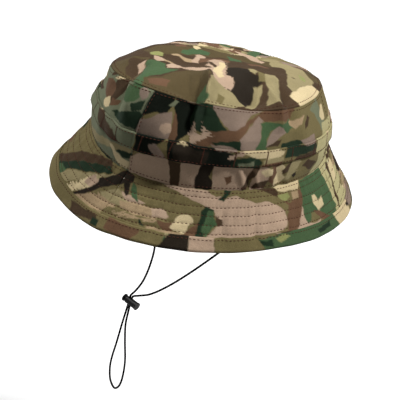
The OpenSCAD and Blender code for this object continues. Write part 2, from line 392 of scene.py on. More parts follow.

# Patches of print, drawn and laid one over another: the ink, then the corners round the
# patch as angle and level in turn. A ~ after the ink gives the patch a ragged edge.
BRIM_PRINT = [
    ("olive", 124,-4, 300,-4, 305,14, 299,30, 302,58, 121,58, 126,46, 118,36, 127,26, 117,14, 125,6),
    ("forest", 108,3, 117,1, 124,6, 128,12, 119,15, 111,12),
    ("brown~", 110,24, 120,22, 129,26, 124,33, 114,34),
    ("umber", 130,40, 134,33, 145,15, 157,4, 168,-1, 171,4, 160,10, 150,19, 140,36, 134,42),
    ("forest", 136,40, 150,19, 160,10, 170,4, 173,8, 161,18, 150,29, 142,42),
    ("khaki", 142,44, 150,30, 161,19, 173,9, 178,4, 179,9, 172,16, 160,28, 150,42),
    ("green", 136,42, 141,36, 147,34, 145,41, 139,46),
    ("tan~", 157,46, 163,37, 168,32, 172,29, 176,27, 181,27, 184,30, 180,34, 178,39, 173,44, 165,47,
     160,48), ("khaki", 173,26, 180,17, 186,19, 190,25, 184,30, 178,29),
    ("pink", 183,17, 190,18, 196,21, 192,24, 186,22),
    ("tan", 184,25, 191,22, 197,23, 201,23, 206,23, 208,26, 207,29, 201,31, 196,32, 191,31, 186,30),
    ("pink", 199,23, 206,23, 208,26, 207,29, 201,30),
    ("tan~", 184,36, 190,32, 196,33, 203,32, 204,34, 196,36, 190,35, 187,38),
    ("cream~", 150,49, 154,41, 161,24, 165,17, 169,19, 169,25, 165,33, 159,40, 156,46),
    ("pink", 162,22, 165,17, 169,19, 169,25, 165,29, 162,27),
    ("black", 168,17, 172,12, 178,3, 180,-1, 185,2, 186,8, 182,11, 177,16, 172,22, 169,30, 166,35,
     160,43, 156,47, 163,35, 167,27, 169,21), ("black", 182,10, 185,9, 187,17, 186,19, 184,16),
    ("green", 186,8, 189,19, 193,22, 189,10), ("forest", 196,35, 197,35, 199,39, 197,39),
    ("brown", 203,33, 210,31, 212,36, 209,40, 205,36),
    ("tan", 200,38, 207,39, 214,39, 216,41, 214,44, 200,43),
    ("pink", 198,0, 207,0, 216,0, 222,1, 227,4, 229,8, 228,14, 224,16, 219,13, 213,8, 205,3),
    ("olive", 221,1, 229,0, 230,5, 226,6),
    ("pink", 228,11, 231,6, 235,5, 239,8, 243,12, 250,12, 254,16, 257,22, 257,30, 256,36, 254,39,
     240,41, 228,42, 223,40, 226,34, 228,27, 226,20, 223,15),
    ("olive", 231,0, 240,-1, 250,-1, 253,5, 255,8, 250,11, 243,11, 239,8, 234,4),
    ("brown", 214,41, 217,34, 219,31, 220,28, 222,38, 219,44, 214,44),
    ("cream", 212,24, 215,23, 217,26, 218,29, 216,33, 215,39, 211,38, 209,35, 210,31),
    ("forest", 220,19, 222,14, 225,17, 223,30, 222,41, 219,42, 220,30),
    ("green", 223,18, 225,18, 226,25, 227,29, 225,34, 223,40, 221,36, 222,28),
    ("umber", 227,22, 229,25, 229,30, 227,31, 226,26),
    ("forest", 230,-1, 233,-1, 230,7, 229,10, 227,8, 229,4),
    ("cream", 253,-2, 262,-1, 270,0, 268,7, 262,6, 256,5),
    ("umber", 243,-1, 250,-2, 254,2, 256,6, 255,9, 252,6, 249,3), ("moss", 255,8, 261,7, 262,12, 258,15),
    ("pink", 260,42, 262,32, 264,22, 267,22, 268,38, 272,40, 275,39, 273,43),
    ("brown", 257,13, 261,17, 264,15, 267,15, 267,8, 271,8, 270,16, 267,22, 264,31, 260,43, 256,43,
     257,29, 260,19), ("tan", 263,8, 267,8, 267,14, 263,15),
    ("green", 270,1, 280,-1, 291,-1, 291,20, 290,36, 286,46, 282,43, 276,33, 271,31, 269,36, 267,39,
     266,33, 267,22, 270,12), ("cream", 275,17, 277,17, 278,24, 281,21, 281,29, 276,31, 274,25),
    ("brown", 272,30, 276,31, 285,44, 284,47, 275,38),
    ("sand", 291,-2, 312,-2, 307,10, 314,21, 306,33, 311,45, 286,48, 290,36, 291,20),
    ("umber", 300,3, 303,3, 299,18, 296,28, 293,42, 291,42, 295,26, 298,14),
    ("cream", 302,6, 310,8, 306,22, 300,22), ("umber", 306,1, 322,3, 322,7, 306,5),
]
BINDING_PRINT = [
    ("olive", 115,38, 158,38, 156,56, 121,56), ("olive", 157,38, 208,38, 208,56, 154,56),
    ("umber", 163,45, 178,43, 180,48, 166,54), ("forest", 177,46, 181,46, 181,52, 178,52),
    ("brown", 184,40, 199,44, 196,54, 184,51), ("black", 210,40, 217,40, 218,56, 206,56),
    ("pink", 217,40, 226,40, 227,56, 218,56), ("olive", 226,40, 250,40, 250,56, 227,56),
    ("green", 243,44, 262,40, 288,40, 288,56, 245,56), ("moss", 250,45, 254,42, 256,45, 251,49),
    ("forest", 243,45, 248,46, 248,52, 244,50), ("forest", 270,46, 280,44, 280,48, 271,50),
    ("cream", 284,40, 300,40, 300,56, 287,56), ("black", 298,43, 301,43, 301,47, 298,47),
]
WALL_PRINT = [
    ("grey", 118,-4, 182,-4, 182,74, 120,74, 127,62, 114,52, 124,40, 115,28, 123,16, 113,6),
    ("olive", 181,-4, 300,-4, 306,8, 296,20, 305,33, 297,46, 306,58, 299,74, 181,74),
    ("umber", 112,44, 118,40, 128,43, 133,49, 124,52, 115,50),
    ("khaki~", 108,60, 120,57, 130,60, 126,68, 114,70), ("green", 106,14, 116,10, 127,13, 122,19, 112,20),
    # left of the middle back
    ("brown", 133,62, 141,65, 147,62, 149,56, 151,50, 146,46, 138,50, 133,55),
    # the umber strip on the next line follows a fold, and its darkness is mostly painted shade of that fold
    ("umber", 144,70, 153,70, 154,56, 154,47, 150,46, 149,56, 146,62),
    ("cream", 143,66, 146,71, 150,71, 147,66), ("umber", 138,66, 143,70, 142,74, 136,72),
    ("cream", 142,41, 145,46, 149,50, 151,47, 153,42, 150,39, 146,38),
    ("brown", 151,50, 157,50, 158,46, 153,43), ("green", 161,60, 164,68, 171,71, 177,66, 173,58, 166,56),
    ("forest", 157,41, 165,44, 172,50, 178,53, 181,50, 181,38, 175,38, 168,38, 161,38),
    ("grey", 154,43, 162,47, 172,54, 171,49, 163,43, 157,41), ("forest", 172,56, 179,62, 179,54, 174,51),
    ("taupe", 172,67, 175,70, 178,68, 179,64, 177,61, 174,64),
    ("khaki", 138,6, 150,12, 160,16, 170,19, 180,21, 180,14, 172,13, 166,12, 158,8, 150,3, 140,1),
    ("umber", 144,32, 151,36, 159,31, 166,29, 172,22, 167,20, 160,20, 152,23, 147,27),
    ("forest", 170,13, 175,16, 181,17, 181,12, 175,10),
    ("cream", 164,15, 167,16, 170,12, 175,9, 180,9, 180,2, 175,1, 170,5),
    ("forest", 130,2, 150,1, 166,3, 173,-2, 150,-4, 130,-4),
    # right of the middle back, above the band
    # the next two near-black patches lie where the wall is in shade about the dent at the rear right: partly
    # print, partly painted shade
    ("pitch", 180,74, 191,74, 192,60, 190,53, 187,55, 182,52, 180,50),
    ("pitch", 191,72, 207,72, 208,58, 205,40, 199,34, 197,44, 194,56),
    ("grey", 190,61, 192,67, 194,66, 193,60),
    ("taupe", 180,47, 186,51, 189,55, 193,56, 195,47, 198,36, 193,33, 180,33),
    ("pink", 191,47, 195,48, 197,42, 194,39, 191,43),
    ("brown", 194,56, 196,54, 200,40, 199,34, 196,34, 196,46),
    ("forest", 204,72, 214,72, 218,58, 224,50, 214,47, 206,45, 203,50),
    ("brown", 206,38, 209,42, 214,48, 224,52, 230,55, 236,61, 239,66, 243,72, 262,72, 258,61, 248,62,
     242,60, 239,62, 235,56, 232,50, 229,44, 222,41, 212,33),
    ("pink~", 205,41, 206,51, 208,45, 211,45, 211,54, 213,48, 217,46, 211,40, 208,35),
    ("taupe", 211,72, 243,72, 238,67, 234,61, 231,55, 225,51, 222,54, 217,61, 213,67),
    ("taupe", 224,68, 238,67, 234,61, 231,55, 225,51, 222,54, 221,60),
    ("forest", 217,40, 222,42, 230,44, 233,38, 230,34, 222,36),
    ("taupe", 217,38, 223,39, 229,37, 230,34, 219,34),
    ("taupe", 229,45, 233,51, 236,57, 239,64, 241,61, 240,57, 240,49, 239,41, 240,36, 231,36),
    ("green", 240,58, 242,60, 250,60, 257,61, 259,54, 255,50, 252,52, 249,56, 245,53, 243,45, 244,36,
     238,36, 240,48), ("taupe", 249,58, 254,51, 249,44, 243,38, 244,48, 246,53),
    ("umber", 243,38, 249,44, 252,44, 250,38), ("tan", 256,59, 262,61, 268,63, 264,56, 260,52, 257,56),
    ("umber", 270,61, 273,58, 270,52, 267,50, 267,55),
    ("grey", 275,64, 284,70, 286,58, 288,48, 283,41, 281,50, 279,58),
    ("cream", 283,54, 287,63, 291,62, 289,50, 285,50), ("sand", 284,48, 300,46, 300,32, 284,34),
    ("forest", 252,40, 262,41, 268,38, 262,34, 252,34), ("taupe", 264,40, 275,42, 276,33, 268,32),
    # below the band
    ("pink", 180,14, 185,20, 190,22, 200,22, 202,10, 205,-4, 180,-4),
    ("umber", 199,22, 206,20, 208,-4, 204,-4, 202,11), ("pink", 206,22, 216,22, 215,8, 216,-4, 208,-4),
    ("black", 215,22, 222,22, 220,12, 222,8, 224,-4, 216,-4, 214,8),
    ("pink", 221,22, 228,22, 240,22, 239,10, 238,-4, 224,-4, 222,8),
    ("brown", 227,12, 230,14, 231,8, 229,5), ("umber", 239,22, 243,20, 240,8, 239,-4, 237,2, 238,10),
    ("pink", 243,22, 247,20, 249,10, 248,-4, 241,-4, 241,10), ("umber", 243,7, 249,8, 249,1, 242,1),
    ("brown", 249,22, 256,22, 255,14, 257,9, 253,3, 249,7),
    ("cream", 244,17, 247,19, 250,17, 250,13, 247,11, 245,14),
    ("khaki", 253,3, 262,5, 268,10, 262,12, 259,9),
    ("cream", 252,18, 255,20, 257,17, 256,13, 259,8, 258,3, 253,2, 252,8, 254,12),
    ("umber", 256,14, 258,18, 261,21, 262,16, 260,12, 257,11),
    ("khaki", 261,21, 267,21, 269,17, 266,12, 260,10), ("black", 263,7, 266,10, 268,9, 265,5),
    ("umber", 270,13, 273,18, 277,15, 281,12, 278,6, 272,8),
    ("olive", 266,9, 271,12, 277,6, 274,2, 268,4),
    ("sand", 281,22, 302,22, 295,10, 303,-4, 276,-4, 282,10), ("umber", 300,8, 306,8, 306,3, 300,4),
]
BAND_PRINT = [
    ("grey", 116,18, 182,18, 182,40, 120,40, 113,32, 121,25), ("olive", 181,18, 302,18, 302,40, 181,40),
    ("cream", 146,34, 150,38, 156,33, 152,30),
    ("umber", 144,33, 151,37, 159,31, 166,29, 172,22, 167,19, 160,19, 152,23, 147,27),
    # the pitch patches on this line and the next lie in the dent's shade at the rear right: partly print,
    # partly painted shade
    ("pitch", 181,39, 197,39, 193,31, 190,26, 193,22, 191,19, 182,19),
    ("pitch", 196,39, 219,36, 230,32, 229,19, 200,19, 198,28), ("black", 199,34, 217,32, 216,19, 203,20),
    ("taupe", 188,29, 191,31, 195,28, 198,22, 201,18, 195,20, 192,23, 189,26),
    ("cream", 201,34, 203,36, 207,34, 205,33), ("taupe", 218,38, 230,38, 229,34, 220,34),
    ("forest", 229,28, 236,31, 240,29, 243,26, 241,19, 228,19), ("grey", 231,25, 238,27, 238,23, 232,22),
    ("pink~", 226,29, 229,33, 232,38, 234,34, 231,31, 228,27),
    ("cream", 231,39, 244,39, 244,29, 240,29, 236,31, 233,33),
    ("cream", 244,35, 250,35, 254,33, 254,30, 250,27, 244,27), ("khaki", 243,27, 254,28, 255,24, 244,23),
    ("brown", 243,23, 254,24, 254,18, 243,18),
    ("forest", 255,39, 262,37, 268,34, 275,33, 277,28, 264,25, 255,26),
    ("taupe", 264,39, 275,39, 275,34, 268,33), ("umber", 262,24, 277,28, 277,22, 262,19),
    ("sand", 276,39, 299,39, 306,30, 297,24, 302,18, 278,18), ("cream", 288,37, 291,37, 291,28, 289,28),
]
# The same for the round top, in mm from its middle: to the right and to the back of it as it is
# seen from the rear right.
TOP_TURN = 298.5      # degrees from the front to that right-hand side
TOP_PRINT = [
    # the dull-brown patches in this table are print darkened to stand in for shade on the top: partly print,
    # partly painted shade
    ("umber", -95,-95, 95,-95, 95,30, -95,30), ("drab", -90,-10, -60,-14, -60,-70, -90,-40),
    ("umber", -76,-14, -62,-18, -64,-46, -78,-40),
    ("drab", -70,10, -60,20, 20,34, 90,20, 90,6, 40,16, 0,10, -30,4, -60,-4),
    ("moss", -62,0, -56,2, -50,0, -50,-5, -56,-7, -61,-6),
    ("green", -61,-20, -55,-20, -50,-22, -44,-27, -43,-36, -38,-40, -36,-46, -44,-52, -52,-58, -54,-68,
     -56,-80, -64,-72, -62,-55, -60,-42, -60,-30),
    ("pink", -57,-8, -50,-8, -46,-13, -47,-18, -52,-21, -56,-16),
    ("tan", -48,-12, -46,-13, -38,-22, -36,-25, -39,-25, -47,-17),
    ("green", -42,-40, -31,-38, -34,-44, -44,-49),
    ("pink", -43,-30, -39,-24, -32,-26, -28,-32, -34,-36, -41,-37),
    ("pink", -68,-24, -62,-19, -61,-28, -60,-40, -63,-42, -66,-33),
    ("tan", -44,1, -38,2, -33,-1, -27,-3, -21,-6, -18,-10, -24,-11, -31,-9, -36,-3, -42,-1),
    ("green", -36,12, -28,20, -20,22, -12,20, -12,12, -20,11, -26,9, -30,4, -36,6),
    ("pink", -24,8, -20,10, -14,7, -14,3, -18,0, -18,-12, -23,-11, -25,-6, -22,-1, -22,5),
    ("cream", -28,30, -23,30, -21,25, -24,20, -28,23), ("brown", -44,26, -34,30, -34,22, -43,19),
    ("brown", -18,0, -12,4, -2,6, 8,4, 8,-6, -4,-3, -8,-6, -17,-10),
    ("drab", -56,-62, -44,-56, -34,-46, -26,-40, -18,-38, -10,-38, -6,-50, -2,-60, -3,-78, -6,-95,
     -34,-95, -54,-80), ("brown", -53,-64, -42,-58, -34,-64, -36,-74, -50,-71),
    ("khaki", 0,-57, 10,-66, 17,-68, 24,-72, 32,-77, 20,-95, -6,-95, -2,-72),
    ("green", -9,-74, -3,-72, 1,-84, -2,-95, -9,-95), ("olive", 8,-76, 13,-78, 14,-88, 8,-86),
    ("pink~", -8,2, 0,1, 5,-5, 8,-22, 9,-38, 11,-47, 17,-50, 19,-56, 17,-67, 10,-66, 4,-64, 0,-58,
     -6,-46, -10,-37, -20,-38, -31,-34, -22,-27, -14,-24, -10,-18, -10,-6),
    ("cream", 0,-6, 5,-9, 7,-22, 6,-40, 9,-52, 4,-58, 0,-50, -3,-38, -2,-26, 1,-18),
    ("umber", -10,-6, -7,-7, -1,-20, -1,-24, -4,-21, -9,-12),
    ("umber", -19,-14, -8,-19, -4,-24, -10,-23, -18,-18),
    ("umber", 8,-4, 20,-2, 32,2, 42,4, 52,2, 58,-6, 60,-16, 58,-30, 55,-42, 50,-30, 44,-26, 38,-28,
     30,-30, 22,-28, 10,-30), ("brown", 22,8, 32,12, 44,6, 40,-2, 28,0),
    ("green", 3,22, 16,18, 19,6, 8,6),
    ("black", 10,-29, 20,-28, 26,-32, 31,-38, 38,-36, 43,-38, 40,-44, 35,-50, 36,-58, 35,-66, 33,-76,
     27,-76, 17,-68, 19,-55, 16,-49, 11,-46, 9,-38), ("khaki", 26,-30, 31,-28, 35,-32, 34,-37, 29,-36),
    ("olive", 35,-31, 42,-31, 44,-40, 38,-42),
    ("khaki", 42,-30, 50,-23, 54,-28, 56,-42, 60,-62, 50,-70, 48,-50, 43,-38),
    ("khaki", 34,-50, 42,-44, 44,-54, 42,-74, 33,-80, 36,-60),
    ("umber", 43,-44, 48,-52, 51,-72, 42,-76, 42,-58),
    ("umber", 52,-18, 62,-8, 61,-30, 68,-50, 60,-60, 56,-40),
    ("khaki", 61,-4, 58,10, 44,18, 42,30, 60,30, 72,24, 84,6, 84,-6, 74,-20, 70,-36, 62,-30, 61,-14),
    ("umber", 64,-7, 67,-6, 68,-9, 65,-10), ("moss", 70,6, 76,4, 78,-4, 73,-3),
    ("cream", 66,-42, 71,-28, 77,-15, 83,-4, 95,-10, 90,-40, 78,-52),
    ("pink", 8,45, 14,36, 24,30, 36,22, 38,26, 28,36, 16,44), ("pink", -2,50, 6,48, 6,44, -1,45),
]


def chance_patches(seed, x0, x1, y0, y1, area=120.0):
    """Patches of print in mm, filling a field where no particular ones are wanted."""
    rnd = random.Random(seed)
    patches = []
    for _ in range(int((x1 - x0) * (y1 - y0) / area)):
        x, y = rnd.uniform(x0, x1), rnd.uniform(y0, y1)
        lean = rnd.gauss(0, 0.35) if rnd.random() < 0.7 else rnd.uniform(0, math.pi)
        half, wide = rnd.uniform(7, 23), rnd.uniform(2.2, 8)
        corners = []
        for k in range(9):
            w = math.tau * k / 9
            r = rnd.uniform(0.65, 1.3)
            a, b = half * r * math.cos(w), wide * r * math.sin(w)
            corners.append((x + a * math.cos(lean) - b * math.sin(lean),
                            y + a * math.sin(lean) + b * math.cos(lean)))
        patches.append((rnd.choice(INK_DRAW) + ("~" if rnd.random() < 0.2 else ""), corners))
    return patches


def hand_patches(rows, per_unit):
    """The drawn patches, with their first coordinate taken to mm."""
    return [(row[0], [(row[i] * per_unit, row[i + 1]) for i in range(1, len(row), 2)]) for row in rows]


def depth_inside(x, y, corners):
    """Distance in mm to a patch's edge, positive inside it."""
    far = np.full(x.shape, 1e9)
    odd = np.zeros(x.shape, bool)
    ax, ay = corners[-1]
    for bx, by in corners:
        ex, ey = bx - ax, by - ay
        s = np.clip(((x - ax) * ex + (y - ay) * ey) / max(ex * ex + ey * ey, 1e-9), 0, 1)
        far = np.minimum(far, np.hypot(x - ax - s * ex, y - ay - s * ey))
        if ay != by:
            odd ^= ((ay > y) != (by > y)) & (x < (bx - ax) * (y - ay) / (by - ay) + ax)
        ax, ay = bx, by
    return np.where(odd, far, -far)


RAGGED, CLEAN = 2.0, 0.15    # how far roughness moves a patch's edge
EDGE_HALF = 0.42             # half width of the blend at an edge, in mm
REACH = 1.5                  # mm beyond its corners that a patch can show


def paint(x, y, patches, seed, around=0.0):
    """Print colour at points of the flat cloth; around is the cloth's full turn in mm, if it has one."""
    flat = np.stack([x, y, 0 * x], -1)
    # edges wander by a fraction of a mm
    x = x + uneven(flat, 0.45, 5, seed) + uneven(flat, 0.08, 1.6, seed + 1)
    y = y + uneven(flat, 0.35, 5, seed + 2) + uneven(flat, 0.06, 1.5, seed + 3)
    # ground of olive and khaki
    mix = smooth(noise(flat, 20, seed + 4), -0.5, 0.6)[..., None]
    col = np.array(INK["olive"]) * mix + np.array(INK["khaki"]) * (1 - mix)
    rough = uneven(flat * (0.5, 2.2, 1), 0.5, 1.2, seed + 5)
    for ink, corners in patches:
        cx = sum(c[0] for c in corners) / len(corners)
        dx = x - cx
        if around:
            dx = (dx + around / 2) % around - around / 2
        near_x = max(abs(c[0] - cx) for c in corners) + REACH
        lo, hi = min(c[1] for c in corners) - REACH, max(c[1] for c in corners) + REACH
        at = np.nonzero((np.abs(dx) < near_x) & (y > lo) & (y < hi))
        if not len(at[0]):
            continue
        deep = depth_inside(dx[at], y[at], [(c[0] - cx, c[1]) for c in corners])
        feather = RAGGED if ink.endswith("~") else CLEAN
        cover = smooth(deep + feather * rough[at], -EDGE_HALF, EDGE_HALF)[..., None]
        col[at] = col[at] * (1 - cover) + np.array(INK[ink.rstrip("~")]) * cover
    return col


# ---------------------------------------------------------------- meshes


def mesh_object(name, verts, faces, body=HAT, material=None):
    mesh = bpy.data.meshes.new(name)
    mesh.from_pydata((np.asarray(verts, float) * MM).tolist(), [], faces)
    mesh.validate()
    mesh.polygons.foreach_set("use_smooth", [True] * len(mesh.polygons))
    obj = bpy.data.objects.new(name, mesh)
    bpy.context.scene.collection.objects.link(obj)
    if material:
        mesh.materials.append(material)
    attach(obj, body)
    return obj


def tube_faces(n, k, closed):
    """Quads between n rings of k points each, with caps where the rings don't close up."""
    i = np.arange(n if closed else n - 1)[:, None]
    j = np.arange(k)[None, :]
    i2, j2 = (i + 1) % n, (j + 1) % k
    quads = np.stack([i * k + j, i * k + j2, i2 * k + j2, i2 * k + j], -1).reshape(-1, 4)
    faces = quads.tolist()
    if not closed:
        faces.append(list(range(k - 1, -1, -1)))
        faces.append([(n - 1) * k + j for j in range(k)])
    return faces


def add_uv_and_print(obj, uv, colours):
    """Writes the cloth's own coordinates, in metres, and its print colour."""
    mesh = obj.data
    loops = np.zeros(len(mesh.loops), int)
    mesh.loops.foreach_get("vertex_index", loops)
    layer = mesh.uv_layers.new(name="cloth")
    layer.data.foreach_set("uv", (uv[loops] * MM).ravel())
    if colours is not None:
        att = mesh.color_attributes.new("print", "FLOAT_COLOR", "POINT")
        rgba = np.concatenate([colours, np.ones((len(colours), 1))], 1)
        att.data.foreach_set("color", rgba.ravel())


def cloth_piece(name, region, section, th0, th1, steps, material, patches=None, seed=0, closed=False):
    """A closed solid of cloth: a section of (level, t) points carried round the hat."""
    th = np.linspace(th0, th1, steps, endpoint=not closed)
    lv = np.array([s[0] for s in section], float)
    t = np.array([s[1] for s in section], float)
    th, lv = np.meshgrid(th, lv, indexing="ij")
    t = np.broadcast_to(t, th.shape)
    p, _ = on_hat(region, th, lv, t)
    obj = mesh_object(name, p.reshape(-1, 3), tube_faces(steps, len(section), closed), material=material)
    if region == "top":
        a, _ = profile(region, lv)
        w = np.radians(th - TOP_TURN)
        flat = np.stack([a * np.cos(w), a * np.sin(w)], -1)
    else:
        flat = np.stack([th * PER_DEGREE, lv], -1)
    colours = None
    if patches is not None:
        around = 0 if region == "top" else 360 * PER_DEGREE
        colours = paint(flat[..., 0], flat[..., 1], patches, seed, around)
        # the print shows only faintly on the back of the cloth
        faint = colours * 0.5 + np.array(INK["taupe"]) * 0.35
        colours = np.where((t < -0.2)[..., None], faint, colours).reshape(-1, 3)
    add_uv_and_print(obj, flat.reshape(-1, 2), colours)
    return obj


def slab_section(l0, l1, fine, t0, t1, coarse=3.0):
    """Outer face in fine steps at t1 and inner face in coarse steps at t0."""
    n = max(2, int(round(abs(l1 - l0) / fine)) + 1)
    m = max(2, int(round(abs(l1 - l0) / (fine * coarse))) + 1)
    return ([(v, t1) for v in np.linspace(l0, l1, n)]
            + [(v, t0) for v in np.linspace(l1, l0, m)])


# ---------------------------------------------------------------- materials


class Nodes:
    """Short names for building one material's node tree."""

    def __init__(self, name):
        self.mat = bpy.data.materials.new(name)
        self.mat.use_nodes = True
        self.tree = self.mat.node_tree
        self.shader = self.tree.nodes["Principled BSDF"]

    def add(self, kind, **values):
        node = self.tree.nodes.new(kind)
        for key, value in values.items():
            if key in node.inputs:
                node.inputs[key].default_value = value
            else:
                setattr(node, key, value)
        return node

    def link(self, a, b):
        self.tree.links.new(a, b)

    def fill(self, socket, value):
        """Sets a socket to a number or a colour, or links it to another socket."""
        if isinstance(value, bpy.types.NodeSocket):
            self.link(value, socket)
        elif isinstance(value, tuple):
            socket.default_value = (*value, 1)
        else:
            socket.default_value = value

    def use(self, **values):
        """Fills the shader's own sockets."""
        for key, value in values.items():
            self.fill(self.shader.inputs[key.replace("_", " ")], value)

    def math(self, op, *values):
        node = self.add("ShaderNodeMath", operation=op)
        for socket, value in zip(node.inputs, values):
            self.fill(socket, value)
        return node.outputs[0]

    def mix(self, factor, a, b, blend="MIX"):
        node = self.add("ShaderNodeMix", data_type="RGBA", blend_type=blend)
        for i, value in ((0, factor), (6, a), (7, b)):
            self.fill(node.inputs[i], value)
        return node.outputs[2]

    def place(self):
        return self.add("ShaderNodeTexCoord").outputs["Object"]

    def split(self, vector):
        node = self.add("ShaderNodeSeparateXYZ")
        self.link(vector, node.inputs[0])
        return node.outputs

    def texture(self, vector, scale, detail, **values):
        node = self.add("ShaderNodeTexNoise", Scale=scale, Detail=detail, **values)
        self.link(vector, node.inputs["Vector"])
        return node.outputs[0]

    def bump(self, height, strength, distance, under=None):
        """Normal from a height, in mm of relief, on top of another normal if one is given."""
        node = self.add("ShaderNodeBump", Strength=strength, Distance=distance * MM)
        self.link(height, node.inputs["Height"])
        if under:
            self.link(under, node.inputs["Normal"])
        return node.outputs[0]


def woven(name, colour=None, pitch=0.55, bump=0.35):
    """Plain-woven cotton: printed if no colour is given. The weave runs in the cloth's own UV."""
    m = Nodes(name)
    uv = m.add("ShaderNodeUVMap", uv_map="cloth").outputs[0]
    across = m.split(uv)
    turns = math.tau / (pitch * MM)
    wobble = m.math("MULTIPLY", m.texture(uv, 900.0, 3.0), 1.6)
    a = m.math("SINE", m.math("MULTIPLY_ADD", across[0], turns, wobble))
    b = m.math("SINE", m.math("MULTIPLY_ADD", across[1], turns, wobble))
    weave = m.math("MULTIPLY_ADD", m.math("MULTIPLY", a, b), 0.5, 0.5)
    place = m.place()
    fade = m.texture(place, 28.0, 6.0, Roughness=0.65)
    grain = m.texture(place, 1400.0, 2.0)
    if colour is None:
        base = m.add("ShaderNodeAttribute", attribute_name="print").outputs["Color"]
    else:
        base = m.add("ShaderNodeRGB").outputs[0]
        base.default_value = (*colour, 1)
    shade = m.math("MULTIPLY_ADD", fade, 0.34, 0.83)
    # fleck and thread darken the colour where the grain and the weave dip: painted shade between the threads,
    # besides real flecks of fibre
    fleck = m.math("MULTIPLY_ADD", grain, 0.5, 0.75)
    thread = m.math("MULTIPLY_ADD", weave, 0.26, 0.87)
    level = m.math("MULTIPLY", m.math("MULTIPLY", shade, fleck), thread)
    grey = m.add("ShaderNodeCombineXYZ")
    for socket in grey.inputs:
        m.link(level, socket)
    height = m.math("ADD", weave, m.math("MULTIPLY", grain, 0.6))
    fine = m.bump(height, bump, 0.25)
    creases = m.texture(place, 160.0, 4.0, Distortion=0.8)
    m.use(Base_Color=m.mix(1.0, base, grey.outputs[0], "MULTIPLY"), Normal=m.bump(creases, 0.35, 1.2, fine),
          Roughness=0.95, Sheen_Weight=0.03, Sheen_Roughness=0.5, Specular_IOR_Level=0.05)
    return m.mat


def thread_material(name, colour):
    m = Nodes(name)
    place = m.place()
    strands = m.texture(place, 2600.0, 2.0)
    dark = tuple(c * 0.6 for c in colour)
    light = tuple(c * 1.1 for c in colour)
    worn = m.mix(m.texture(place, 60.0, 2.0), dark, light)
    m.use(Base_Color=m.mix(m.math("MULTIPLY", strands, 0.5), worn, dark), Normal=m.bump(strands, 0.4, 0.2),
          Roughness=0.9, Specular_IOR_Level=0.05)
    return m.mat


def cord_material():
    """Black braid: two sets of strands that cross as they wind round the cord."""
    m = Nodes("cord_braid")
    uv = m.split(m.add("ShaderNodeUVMap", uv_map="cloth").outputs[0])
    along = m.math("MULTIPLY", uv[1], math.tau / (1.7 * MM))
    around = m.math("MULTIPLY", uv[0], math.tau * 4)
    a = m.math("SINE", m.math("ADD", along, around))
    b = m.math("SINE", m.math("SUBTRACT", along, around))
    braid = m.math("MULTIPLY_ADD", m.math("MULTIPLY", a, b), 0.5, 0.5)
    # the braid is coloured darker where it dips between strands: painted shade
    m.use(Base_Color=m.mix(braid, srgb(4, 4, 4), srgb(15, 15, 16)), Normal=m.bump(braid, 0.6, 0.3),
          Roughness=0.8, Specular_IOR_Level=0.08)
    return m.mat


def plastic_material():
    m = Nodes("lock_plastic_satin")
    place = m.place()
    grain = m.texture(place, 2200.0, 3.0)
    scuff = m.texture(place, 260.0, 5.0, Roughness=0.7)
    m.use(Base_Color=m.mix(scuff, srgb(6, 6, 6), srgb(18, 18, 19)), Normal=m.bump(grain, 0.15, 0.2),
          Roughness=m.math("MULTIPLY_ADD", scuff, 0.25, 0.38), Specular_IOR_Level=0.25)
    return m.mat


def steel_material():
    m = Nodes("spring_steel_drawn")
    drawn = m.texture(m.place(), 3000.0, 2.0)
    m.use(Base_Color=m.mix(drawn, (0.5, 0.5, 0.52), (0.7, 0.7, 0.72)), Metallic=1.0,
          Roughness=m.math("MULTIPLY_ADD", drawn, 0.2, 0.22))
    return m.mat


CLOTH = woven("camouflage_cloth")
TAPE = woven("camouflage_tape", pitch=0.7, bump=0.5)
LINING = woven("sweatband_cotton", srgb(86, 84, 60), pitch=0.9, bump=0.5)
BUCKRAM = woven("interlining_weave", srgb(205, 200, 184), pitch=1.2, bump=0.6)
THREAD = thread_material("sewing_thread", srgb(82, 50, 40))
BRAID = cord_material()
PLASTIC = plastic_material()
STEEL = steel_material()

# ---------------------------------------------------------------- cloth pieces

COARSE = 1.0


def steps_for(degrees, per_degree=1.55):
    return max(12, int(degrees * per_degree * COARSE))


def patches_for(rows, seed, th0, th1, l0, l1):
    """Chance patches over a piece and 4 mm round it, under its drawn ones."""
    return (chance_patches(seed, th0 * PER_DEGREE, th1 * PER_DEGREE, l0 - 4, l1 + 4)
            + hand_patches(rows, PER_DEGREE))


def declare(node):
    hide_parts(node)


PANELS = [("front", -FRONT_SEAM, FRONT_SEAM), ("rear_left", FRONT_SEAM, 180.0),
          ("rear_right", 180.0, 360.0 - FRONT_SEAM)]


def make_panels():
    for i, (side, a, b) in enumerate(PANELS):
        arc = b - a
        section = slab_section(TOP_Z + 0.3, -0.3, 0.8, -CLOTH_T, CLOTH_T)
        wall = cloth_piece("side_cloth_" + side, "wall", section,
                           a, b, steps_for(arc, 2.5), CLOTH,
                           patches_for(WALL_PRINT, 21 + i, a, b, 0, 70), 30 + i)
        declare("side_panel_" + side)
        brim = cloth_piece("brim_cloth_" + side, "brim", slab_section(-0.9, BRIM_W, 0.7, *BRIM_T),
                           a, b, steps_for(arc, 2.4), CLOTH,
                           patches_for(BRIM_PRINT, 41 + i, a, b, 0, 52), 50 + i)
        declare("brim_top_" + side)


def make_top():
    middle, rim = 0.0012, 1.003    # shares of the radius: all but closed, and just past the seam
    outer = [(v, CLOTH_T) for v in np.linspace(middle, rim, int(100 * COARSE))]
    inner = [(v, -CLOTH_T) for v in np.linspace(rim, middle, 26)]
    patches = chance_patches(77, -96, 96, -96, 96) + hand_patches(TOP_PRINT, 1)
    top = cloth_piece("crown_top_cloth", "top", outer + inner, 0, 360, steps_for(360, 1.9), CLOTH,
                      patches, 60, closed=True)
    declare("crown_top")


